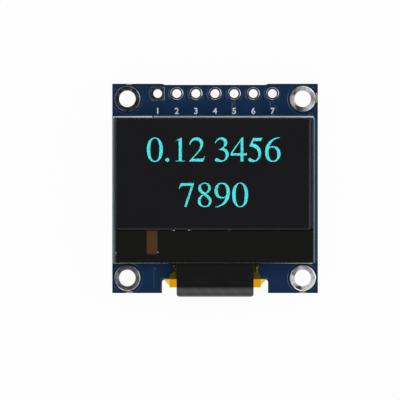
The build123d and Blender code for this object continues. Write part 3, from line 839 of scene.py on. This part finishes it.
class MODULE_OT_display(bpy.types.Operator):
    """Glasses, polarizer, layers and films of the display cell"""

    bl_idname = "module.display"
    bl_label = "Display cell"

    def execute(self, context):
        wear(glass_material(), "front_glass", "cap_glass")
        wear(film_material(), "polarizer")
        for finish, *names in (
                ("Dark_Emitting_Layer", "emitter_layer"), ("Pressed_Desiccant_Sheet", "desiccant_sheet"),
                ("Cured_Seal_Resin", "edge_seal"), ("Ground_Silicon", "driver_chip"),
                ("Black_Polyester_Film", "light_shield"), ("Amber_Film", "amber_film_patch"),
                ("Acrylic_Foam_Tape", "bonding_tape_upper", "bonding_tape_lower")):
            wear(surface(finish), *names)
        adhesive()
        specks()
        return {"FINISHED"}


# Outlines of plain serif digits, 1000 units to the body size. An outline is its start point, then
# cubic curves of six numbers or straight lines of two.
DIGITS = {
    "0": (
        "250,676 115,676,24,532,24,328 24,124,113,-14,250,-14 387,-14,476,128,476,334 "
        "476,532,388,676,250,676;"
        "248,650 333,650,380,532,380,328 380,126,335,12,250,12 165,12,120,128,120,332 "
        "120,536,165,650,248,650"),
    "1": (
        "111,571 291,676 299,674 299,75 299,28,312,15,394,15 394,0 118,0 118,15 195,15,213,31,213,83 "
        "213,541 213,575,206,592,185,592 165,592,140,582,111,571"),
    "2": (
        "475,137 424,0 29,0 29,12 207,201 303,303,345,384,345,460 345,549,295,602,214,602 "
        "141,602,92,562,53,472 32,477 58,605,133,676,238,676 346,676,424,604,424,502 "
        "424,412,366,322,250,202 127,76 366,76 413,76,430,88,462,142"),
    "3": (
        "45,525 82,628,142,676,229,676 325,676,389,620,389,537 389,473,356,424,286,384 "
        "384,349,431,290,431,203 431,72,324,-14,170,-14 88,-14,43,8,43,45 43,72,62,88,90,88 "
        "112,88,131,81,168,57 199,36,216,29,240,29 305,29,350,90,350,166 350,270,282,331,153,331 152,342 "
        "250,372,305,423,305,500 305,570,262,617,194,617 143,617,103,590,62,520"),
    "4": (
        "472,231 472,167 370,167 370,0 293,0 293,167 12,167 12,232 326,676 370,676 370,231;"
        "293,231 52,231 293,571"),
    "5": (
        "438,681 396,583 389,579,382,576,370,576 184,576 152,508 300,478,396,388,396,236 "
        "396,90,296,-14,158,-14 84,-14,32,12,32,56 32,80,50,94,74,94 96,94,116,86,142,66 "
        "168,46,188,37,212,37 280,37,322,104,322,198 322,324,232,412,62,426 173,662 384,662 "
        "404,662,414,668,429,688"),
    "6": (
        "446,684 448,668 282,640,175,530,150,388 190,420,224,432,266,432 388,432,468,344,468,218 "
        "468,84,380,-14,258,-14 118,-14,34,88,34,262 34,492,184,664,446,684;"
        "240,392 180,392,128,362,128,318 128,262 128,110,180,16,268,16 336,16,378,88,378,196 "
        "378,314,326,392,240,392"),
    "7": (
        "449,662 449,646 237,-8 172,-8 370,588 153,588 92,588,78,576,37,504 20,515 79,662"),
    "8": (
        "248,676 346,676,424,616,424,532 424,466,384,414,290,366 404,292,445,238,445,163 "
        "445,58,366,-14,249,-14 132,-14,56,56,56,155 56,230,92,282,196,344 98,410,68,450,68,516 "
        "68,612,148,676,248,676;"
        "244,648 182,648,142,608,142,550 142,492,180,446,268,392 328,430,352,476,352,530 "
        "352,604,310,648,244,648;"
        "220,324 162,282,132,226,132,160 132,74,180,14,256,14 324,14,368,60,368,128 "
        "368,198,330,250,220,324"),
    ".": (
        "125,100 95,100,70,75,70,45 70,14,95,-11,125,-11 156,-11,181,14,181,45 181,75,156,100,125,100"),
}
DIGITS = {letter: [[[int(v) for v in step.split(",")] for step in outline.split()]
                   for outline in outlines.split(";")] for letter, outlines in DIGITS.items()}
# A nine is a six turned half round
DIGITS["9"] = [[[(493, 662)[k % 2] - v for k, v in enumerate(step)] for step in outline]
               for outline in DIGITS["6"]]
BODY = 1000
ADVANCE = {".": 250, " ": 250}


def trace(shape, outline, em, x, y):
    """Adds one closed outline of a digit to a curve, as Bezier points with their handles."""
    ends, arrive, leave = [outline[0]], {}, {}
    for step in outline[1:]:
        if len(step) == 6:
            leave[len(ends) - 1] = step[0:2]
            arrive[len(ends)] = step[2:4]
        ends.append(step[-2:])
    if ends[-1] == ends[0]:
        arrive[0] = arrive.pop(len(ends) - 1)
        ends.pop()
    spline = shape.splines.new("BEZIER")
    spline.bezier_points.add(len(ends) - 1)
    spline.use_cyclic_u = True
    for number, (point, end) in enumerate(zip(spline.bezier_points, ends)):
        before, after = ends[number - 1], ends[(number + 1) % len(ends)]
        left = arrive.get(number, [e + (b - e) / 3 for e, b in zip(end, before)])
        right = leave.get(number, [e + (a - e) / 3 for e, a in zip(end, after)])
        point.handle_left_type = point.handle_right_type = "FREE"
        for name, value in (("co", end), ("handle_left", left), ("handle_right", right)):
            setattr(point, name, (x + value[0] * em / BODY, y + value[1] * em / BODY, 0))


def glow():
    """Lit pixels 0.17 mm apart, with darker lines between them."""
    made = surface("Lit_Organic_Pixels")
    tree, body, place = opened(made)
    rows, columns = [add(tree, "TexWave", {"Vector": place, "Scale": WAVE / (0.17 * MM)},
                         bands_direction=way, wave_profile="SIN").outputs[1] for way in ("X", "Y")]
    cells = add(tree, "Math", (rows, columns), operation="ADD")
    power = add(tree, "MapRange", (cells, 0, 2, 10.6, 11.8))
    body.inputs["Emission Color"].default_value = tone("light")
    tree.links.new(power.outputs[0], body.inputs["Emission Strength"])
    return made


class MODULE_OT_digits(bpy.types.Operator):
    """Two lines of plain lit digits on the emitting layer"""

    bl_idname = "module.digits"
    bl_label = "Lit digits"

    def execute(self, context):
        em = size("digit_em") / MM
        shape = bpy.data.curves.new("digits", "CURVE")
        shape.dimensions = "2D"
        shape.fill_mode = "BOTH"
        shape.extrude = 0.005
        shape.resolution_u = 8
        for text, x, base, stretch in (("0.12 3456", -9.16, 3.57, 0.95), ("7890", -4.9, -2.42, 1.0)):
            for letter in text:
                for outline in DIGITS.get(letter, ()):
                    trace(shape, outline, em, x, base)
                x += ADVANCE.get(letter, BODY / 2) * stretch * em / BODY
        made = meshed("digits", shape)
        made.scale = (MM, MM, MM)
        made.location.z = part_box("emitter_layer")[1].z + 0.006 * MM
        settle(made, "lit_digits", glow())
        return {"FINISHED"}


# Flexible tail

def tail_material():
    """Polyimide base film, clear enough to glow over white."""
    made = surface("Amber_Polyimide_Film")
    tree, body, _ = opened(made)
    clear = add(tree, "BsdfTransparent", {"Color": "#fde895"})
    show(tree, add(tree, "MixShader", (0.1, clear, body)))
    return made


def tape_material():
    """Tape pulled round the fold: duller past the crease where it turns, with slanting streaks of painted
    highlight in the bend.
    """
    made = surface("Black_Polyester_Tape")
    tree, body, place = opened(made)
    axes = add(tree, "SeparateXYZ", [place]).outputs
    turned = add(tree, "Mapping", {"Vector": place, "Rotation": (0.0, 0.0, math.radians(-42))})
    # Painted highlight: lighter slanting streaks across the bend, where the tape's wrinkles would catch the
    # light
    streaks = add(tree, "TexWave", {
        "Vector": turned, "Scale": WAVE / (1.3 * MM), "Distortion": 3.0, "Detail": 2.0, "Detail Scale": 0.6},
        bands_direction="X").outputs[1]
    bend = inside(tree, axes, (1, -15 * MM, -13.1 * MM, 0.03 * MM))
    crest = add(tree, "MapRange", (streaks, 0.55))
    painted_streak_highlight = add(tree, "Math", (crest, bend), operation="MULTIPLY")
    lay(body, "Roughness", bend, 0.33)
    lay(body, "Base Color", painted_streak_highlight, "#252525")
    fall = add(tree, "MapRange", (axes[1], -14.2 * MM, -13.08 * MM))
    slump = add(tree, "Math", (fall, 2.0), operation="POWER")
    crease = add(tree, "Bump", {
        "Height": slump, "Distance": 0.1 * MM, "Normal": body.inputs["Normal"].links[0].from_socket})
    tree.links.new(crease.outputs[0], body.inputs["Normal"])
    return made


def glue_beads():
    """Beads of clear glue between the board and the tail, each side of the neck under the ledge."""
    # Pale bubbles stand in the glue
    glue = surface("Yellowed_Clear_Glue")
    tree, body, place = opened(glue)
    cells = add(tree, "TexVoronoi", {"Vector": place, "Scale": 1 / (0.38 * MM)}).outputs["Distance"]
    bubble = add(tree, "MapRange", (cells, 0.16, 0.3, 1, 0))
    lay(body, "Base Color", bubble, "#d5d8c0")
    share = add(tree, "MapRange", (bubble, 0, 1, 0.3, 0.6))
    clear = add(tree, "BsdfTransparent", {"Color": "#e8dca8"})
    show(tree, add(tree, "MixShader", (share, clear, body)))
    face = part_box(BOARD)[1].z
    for name, x, wide in (("glue_bead_right", 5.5 * MM, 0.42 * MM), ("glue_bead_left", -5.35 * MM, 0.3 * MM)):
        bead = placed(bpy.ops.mesh.primitive_uv_sphere_add, (x, -10.5 * MM, face),
                      (wide, 0.75 * MM, 0.6 * MM), segments=24, ring_count=16)
        bpy.ops.object.shade_smooth()
        cut(bead, block((x - MM, -12 * MM, face - MM), (x + MM, -9 * MM, face)))
        settle(bead, name, glue)


class MODULE_OT_tail(bpy.types.Operator):
    """Finish of the flexible tail and its guard tape, with the copper tracks in the tail"""

    bl_idname = "module.tail"
    bl_label = "Flexible tail"

    def execute(self, context):
        wear(tail_material(), "display_flex")
        wear(tape_material(), "guard_tape")
        # Thirty tracks fan out at 45 degrees from the pitch of the neck to that of the contacts
        start, turn, end = -11.3 * MM, -10.75 * MM, -2.7 * MM
        lines = []
        for number in range(30):
            place = (number - 14.5) * MM
            near, far = NECK_PITCH * place, PITCH * place
            lines.append([(near, start), (near, turn), (far, turn + abs(far - near)), (far, end)])
        settle(ribbon(lines, 0.16 * MM, 0.008 * MM, -0.15 * MM), "tail_tracks",
               surface("Etched_Copper_Under_Film"))
        glue_beads()
        return {"FINISHED"}


# Parts on the back

def contact(x):
    """The place in X of the tail's contact next to a point."""
    return (round(x / (PITCH * MM) - 0.5) + 0.5) * PITCH * MM


def overcoated():
    """Resistors are white alumina under a black coat."""
    made = surface("Alumina_With_Black_Overcoat")
    tree, body, place = opened(made)
    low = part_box(RESISTORS[0])[0]
    axes = add(tree, "SeparateXYZ", [place]).outputs
    coat = inside(tree, axes, (2, low.z - MM, low.z + 0.06 * MM, 0.01 * MM))
    lay(body, "Base Color", coat, "#17171a")
    return made


def vias(holes, level):
    """Small plated holes under the mask, each a low ring with a dimple."""
    first = placed(bpy.ops.mesh.primitive_cylinder_add, (0, 0, level), vertices=24, radius=0.3 * MM,
                   depth=SUNK)
    with editing(first, "FACE", lambda: [p for p in first.data.polygons if p.normal.z < -0.5]):
        for thickness, depth in ((0.06, 0.02), (0.08, 0), (0.06, -0.014)):
            bpy.ops.mesh.inset(thickness=thickness * MM, depth=depth * MM)
    made = [copied(first, f"via_{n}", Matrix.Translation((x, y, 0))) for n, (x, y) in enumerate(holes)]
    bpy.data.objects.remove(first)
    return joined(made)


class MODULE_OT_parts(bpy.types.Operator):
    """Finishes of the chips, leads and solder, with covered tracks and vias between them"""

    bl_idname = "module.parts"
    bl_label = "Parts on the back"

    def execute(self, context):
        wear(overcoated(), *RESISTORS)
        for finish, *names in (
                ("Fired_Brown_Ceramic", *CAPACITORS),
                ("Reflowed_Solder", "solder_fillets", "tail_solder_joints"),
                ("Plated_Matt_Tin", "resistor_terminals", "capacitor_terminals", "regulator_leads",
                 "diode_leads"),
                ("Moulded_Epoxy_Compound", "regulator_body", "diode_body")):
            wear(surface(finish), *names)
        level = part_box(BOARD)[0].z
        row, via_row = -2.0 * MM, 2.45 * MM
        lines, holes = [], []
        # From the header to the resistors, from each chip to a contact, and from each capacitor to a via
        for pad, chip in zip(HEADER_PADS[1:], RESISTORS[1:]):
            lines.append(jog((middle(pad).x, 11.9 * MM), (middle(chip).x, 4.9 * MM), 0.1))
        for x in (middle(chip).x for chip in RESISTORS):
            lines.append(jog((x, 3.3 * MM), (contact(x + 1.05 * MM), row), 0.15))
        for x in (middle(chip).x for chip in CAPACITORS):
            lines.append(jog((x, -0.2 * MM), (contact(x), row), 0.7))
            lines.append([(x, 1.4 * MM), (x, via_row - 0.1 * MM)])
            holes.append((x, via_row))
        holes += millimetres(
            (-10.2, 5.2), (-10.4, 1.0), (-9.7, -4.6), (9.9, 4.4), (10.6, -0.6), (10.2, -5.2),
            (-3.8, 9.3), (1.3, 7.4), (3.9, 9.9), (-1.2, 6.6), (11.4, 7.9), (-11.5, 8.6), (2.1, 2.45))
        lines += [millimetres(*run) for run in (
            ((-10.2, 5.2), (-10.2, 3.4), (-10.4, 3.2), (-10.4, 1.0)),
            ((9.9, 4.4), (9.9, 1.6), (10.6, 0.9), (10.6, -0.6)),
            ((1.3, 7.4), (1.3, 6.1), (2.1, 5.3), (2.1, 2.45)), ((11.4, 7.9), (9.8, 7.9)),
            ((-11.5, 8.6), (-9.2, 8.6), (-8.6, 8.0)), ((-9.7, -4.6), (-11.6, -6.5), (-11.6, -9.6)),
            ((10.2, -5.2), (11.6, -6.6), (11.6, -9.6)))]
        covered = surface("Blue_Solder_Mask_Over_Tracks")
        settle(ribbon(lines, 0.22 * MM, 0.02 * MM, level), "covered_tracks_back", covered)
        settle(vias(holes, level), "covered_vias", covered)
        return {"FINISHED"}


# Stage

def studio_light(name, spot, watts, wide, aim):
    """A soft square lamp that points at aim. The camera doesn't see it."""
    lamp = bpy.data.lights.new(name, "AREA")
    lamp.energy = watts
    lamp.size = wide
    made = bpy.data.objects.new(name, lamp)
    made.location = spot
    made.rotation_euler = (aim - made.location).to_track_quat("-Z", "Y").to_euler()
    made.visible_camera = False
    bpy.context.scene.collection.objects.link(made)


def paper():
    """White paper. Seen directly or in a mirror it is white, and keeps a faint shadow."""
    made = surface("Matt_White_Paper")
    tree, body, _ = opened(made)
    ray = add(tree, "LightPath").outputs
    seen = ray["Is Camera Ray"]
    for other in ("Is Glossy Ray", "Is Transmission Ray"):
        seen = add(tree, "Math", (seen, ray[other]), operation="MAXIMUM")
    share = add(tree, "Math", (seen, 0.96), operation="MULTIPLY")
    white = add(tree, "Emission", {"Color": (1, 1, 1, 1), "Strength": 1.0})
    both = add(tree, "MixShader", (share, body, white))
    # From below the floor is clear
    back = add(tree, "NewGeometry").outputs["Backfacing"]
    show(tree, add(tree, "MixShader", (back, both, add(tree, "BsdfTransparent"))))
    return made


def sky(scene):
    """Light from the sides, more from the right and dim overhead, and a white background."""
    world = bpy.data.worlds.new("studio")
    scene.world = world
    world.use_nodes = True
    tree = world.node_tree
    way = add(tree, "TexCoord").outputs["Generated"]
    right, _, up = add(tree, "SeparateXYZ", [way]).outputs
    level = add(tree, "MapRange", (up, 0.7, 0.92, 0.6, 0.05), interpolation_type="SMOOTHSTEP")
    side = add(tree, "MapRange", (right, -1, 1, 0.5, 1.4))
    power = add(tree, "Math", (level, side), operation="MULTIPLY")
    light = add(tree, "Background", {"Color": (1, 1, 1, 1), "Strength": power})
    white = add(tree, "Background", {"Color": (1, 1, 1, 1), "Strength": 1.0})
    ray = add(tree, "LightPath").outputs["Is Camera Ray"]
    show(tree, add(tree, "MixShader", (ray, light, white)), "World Output")


class MODULE_OT_stage(bpy.types.Operator):
    """White floor, soft studio light and a camera straight above"""

    bl_idname = "module.stage"
    bl_label = "Stage"

    def execute(self, context):
        scene = context.scene
        scene.view_settings.view_transform = "Standard"
        low, high = CAD_BOX
        alone()
        bpy.ops.mesh.primitive_plane_add(size=1.2, location=(0, 0, low.z))
        floor = bpy.context.object
        floor.name = "floor"
        floor.data.materials.append(paper())
        sky(scene)
        aim = (low + high) / 2
        studio_light("key_right", (0.45, 0.1, 0.32), 1.6, 0.5, aim)
        studio_light("fill_front", (-0.12, -0.45, 0.34), 1.1, 0.5, aim)
        studio_light("fill_left", (-0.42, 0.25, 0.3), 0.5, 0.4, aim)
        camera = bpy.data.objects.new("camera", bpy.data.cameras.new("camera"))
        view = camera.data
        view.sensor_width, view.lens = 36, 300
        view.clip_start, view.clip_end = 0.01, 5
        # The picture takes in this width at the height of the glass
        span, glass = 53.12 * MM, 1.2 * MM
        camera.location = (-2.0 * MM, -1.54 * MM, glass + span * view.lens / view.sensor_width)
        scene.collection.objects.link(camera)
        scene.camera = camera
        return {"FINISHED"}


class MODULE_PT_panel(bpy.types.Panel):
    """Steps that finish the display module"""

    bl_idname = "MODULE_PT_panel"
    bl_label = "Display module"
    bl_space_type = "VIEW_3D"
    bl_region_type = "UI"
    bl_category = "Display"

    def draw(self, context):
        for step in STEPS:
            self.layout.operator(step.bl_idname)
        for group, names in (("module_sizes", SIZES), ("module_colours", COLOURS)):
            for name in names:
                self.layout.prop(getattr(context.scene, group), name)


STEPS = (MODULE_OT_board, MODULE_OT_legend, MODULE_OT_pads, MODULE_OT_display, MODULE_OT_digits,
         MODULE_OT_tail, MODULE_OT_parts, MODULE_OT_stage)
CLASSES = (ModuleSizes, ModuleColours, *STEPS, MODULE_PT_panel)


def register():
    for made in CLASSES:
        bpy.utils.register_class(made)
    bpy.types.Scene.module_sizes = bpy.props.PointerProperty(type=ModuleSizes)
    bpy.types.Scene.module_colours = bpy.props.PointerProperty(type=ModuleColours)


def unregister():
    del bpy.types.Scene.module_sizes
    del bpy.types.Scene.module_colours
    for made in reversed(CLASSES):
        bpy.utils.unregister_class(made)


def main():
    register()
    alone()
    for step in STEPS:
        group, name = step.bl_idname.split(".")
        getattr(getattr(bpy.ops, group), name)()
    alone()


if __name__ == "__main__":
    main()
